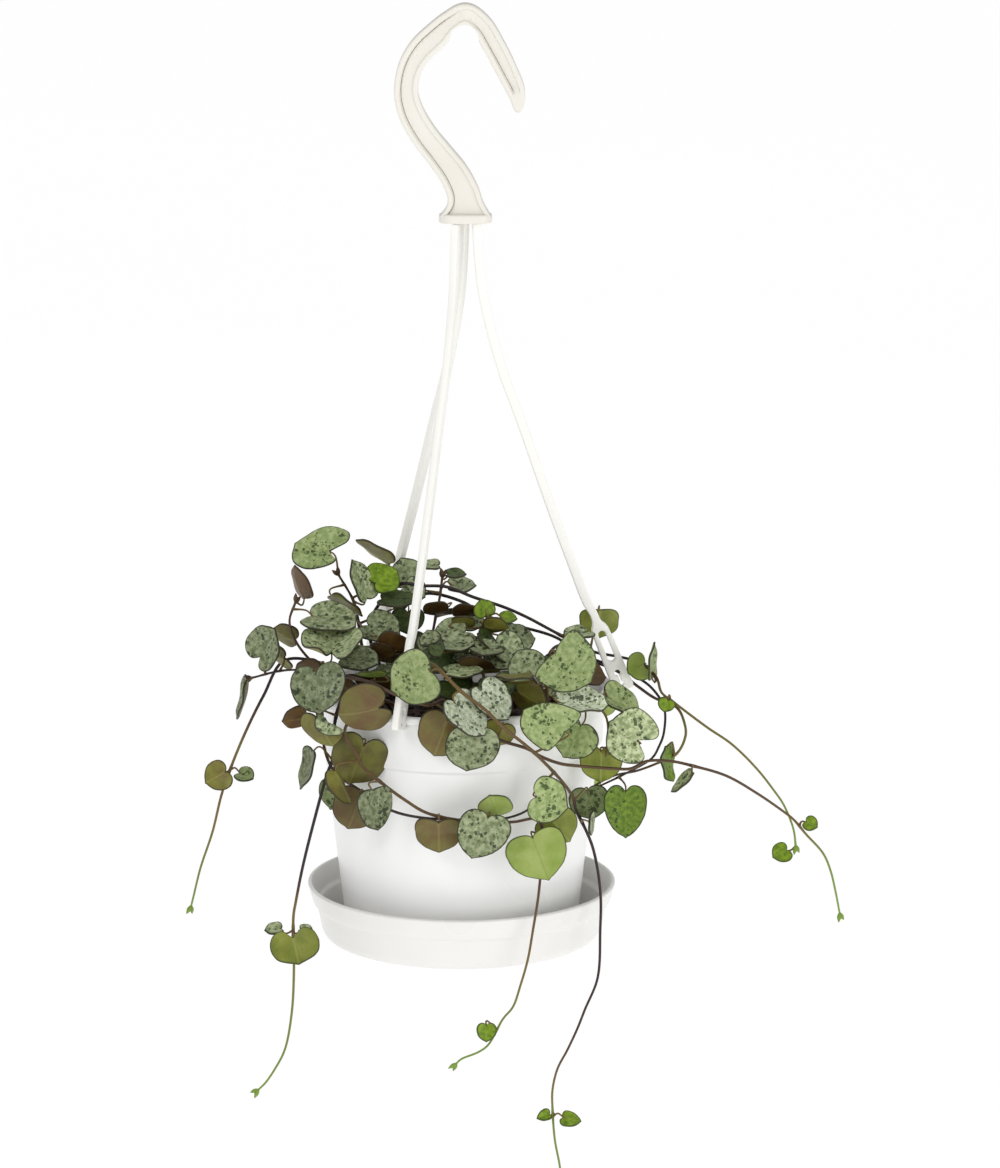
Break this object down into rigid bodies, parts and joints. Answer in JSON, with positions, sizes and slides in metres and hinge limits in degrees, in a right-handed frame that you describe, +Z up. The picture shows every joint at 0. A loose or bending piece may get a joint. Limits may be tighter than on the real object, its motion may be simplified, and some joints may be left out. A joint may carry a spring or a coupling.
{
  "type": "potted string of hearts plant",
  "caption": "Trailing string of hearts with mottled heart-shaped leaves, in a white plastic hanging pot with a clip-on saucer and a hooked hanger.",
  "frame": {"origin": "the seat inside the hook's bend, the highest point under it, where a rail carries the whole hanging plant", "axes": "+Z up along the hanging height, +X to the right and -Y to the front, the side with the long trailing stems"},
  "size_m": [0.2589, 0.1575, 0.4732],
  "materials": {
    "hanger_plastic": "moulded polypropylene, warm off-white, satin",
    "pot_plastic": "moulded polypropylene, white, soft gloss",
    "soil": "damp peat mix, dark brown, crumbly",
    "stem": "smooth wiry stems, purplish brown to olive at the young tips",
    "leaf": "fleshy leaves, sage silver mottled with dark green, olive to tan underneath"
  },
  "bodies": {
    "root": {"hanger_hook": "hanger_plastic", "hanger_arm_front_left": "hanger_plastic", "hanger_arm_back_left": "hanger_plastic", "hanger_arm_right": "hanger_plastic", "pot": "pot_plastic", "saucer": "pot_plastic", "potting_soil": "soil", "vine_far_left": "stem", "vine_left_trail": "stem", "vine_front_swag": "stem", "vine_long_trail": "stem", "vine_right_upper": "stem", "vine_right_lower": "stem", "vine_right_loop": "stem", "vine_right_inner_loop": "stem", "vine_left_runner": "stem", "vine_swag_loop": "stem", "vine_left_crown": "stem", "vine_left_clump": "stem", "vine_back_crown": "stem", "vine_middle_crown": "stem", "vine_right_crown": "stem", "vine_back_left": "stem", "vine_back_middle": "stem", "vine_back_right": "stem", "leaf_left_1": "leaf", "leaf_left_2": "leaf", "leaf_left_3": "leaf", "leaf_left_4": "leaf", "leaf_left_5": "leaf", "leaf_left_6": "leaf", "leaf_left_7": "leaf", "leaf_left_8": "leaf", "leaf_left_9": "leaf", "leaf_left_10": "leaf", "leaf_left_11": "leaf", "leaf_left_12": "leaf", "leaf_left_13": "leaf", "leaf_front_1": "leaf", "leaf_front_2": "leaf", "leaf_front_3": "leaf", "leaf_front_4": "leaf", "leaf_front_5": "leaf", "leaf_front_6": "leaf", "leaf_front_7": "leaf", "leaf_front_8": "leaf", "leaf_front_9": "leaf", "leaf_front_10": "leaf", "leaf_right_1": "leaf", "leaf_right_2": "leaf", "leaf_right_3": "leaf", "leaf_right_4": "leaf", "leaf_right_5": "leaf", "leaf_right_6": "leaf", "leaf_right_7": "leaf", "leaf_right_8": "leaf", "leaf_trail_1": "leaf", "leaf_back_1": "leaf", "leaf_back_2": "leaf", "leaf_back_3": "leaf"}
  },
  "joints": []
}
